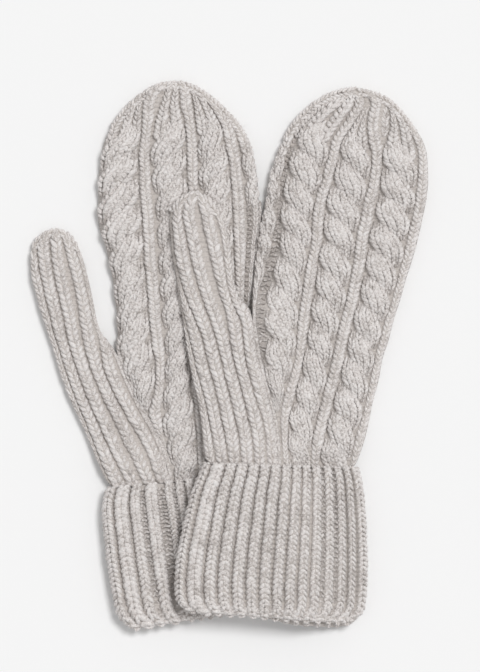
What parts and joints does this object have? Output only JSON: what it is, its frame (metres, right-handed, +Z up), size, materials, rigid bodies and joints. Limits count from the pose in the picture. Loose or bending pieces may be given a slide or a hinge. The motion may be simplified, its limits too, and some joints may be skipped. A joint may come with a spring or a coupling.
{
  "type": "pair of cable-knit mittens",
  "caption": "Cable-knit wool mittens with ribbed thumb gussets and turned-up ribbed cuffs, laid flat, one partly over the other.",
  "frame": {"origin": "middle of the pair's bounding box, on the surface the pair lies on", "axes": "+X to the right as the pair is seen from above, thumbs on the left; +Y from the cuffs to the fingertips; +Z up"},
  "size_m": [0.1892, 0.2602, 0.024],
  "materials": {
    "wool_knit": "matt spun wool, light greige heather with a soft nap"
  },
  "bodies": {
    "root": {"under_hand": "wool_knit", "under_thumb": "wool_knit", "under_cuff": "wool_knit", "over_hand": "wool_knit", "over_thumb": "wool_knit", "over_cuff": "wool_knit"}
  },
  "joints": []
}
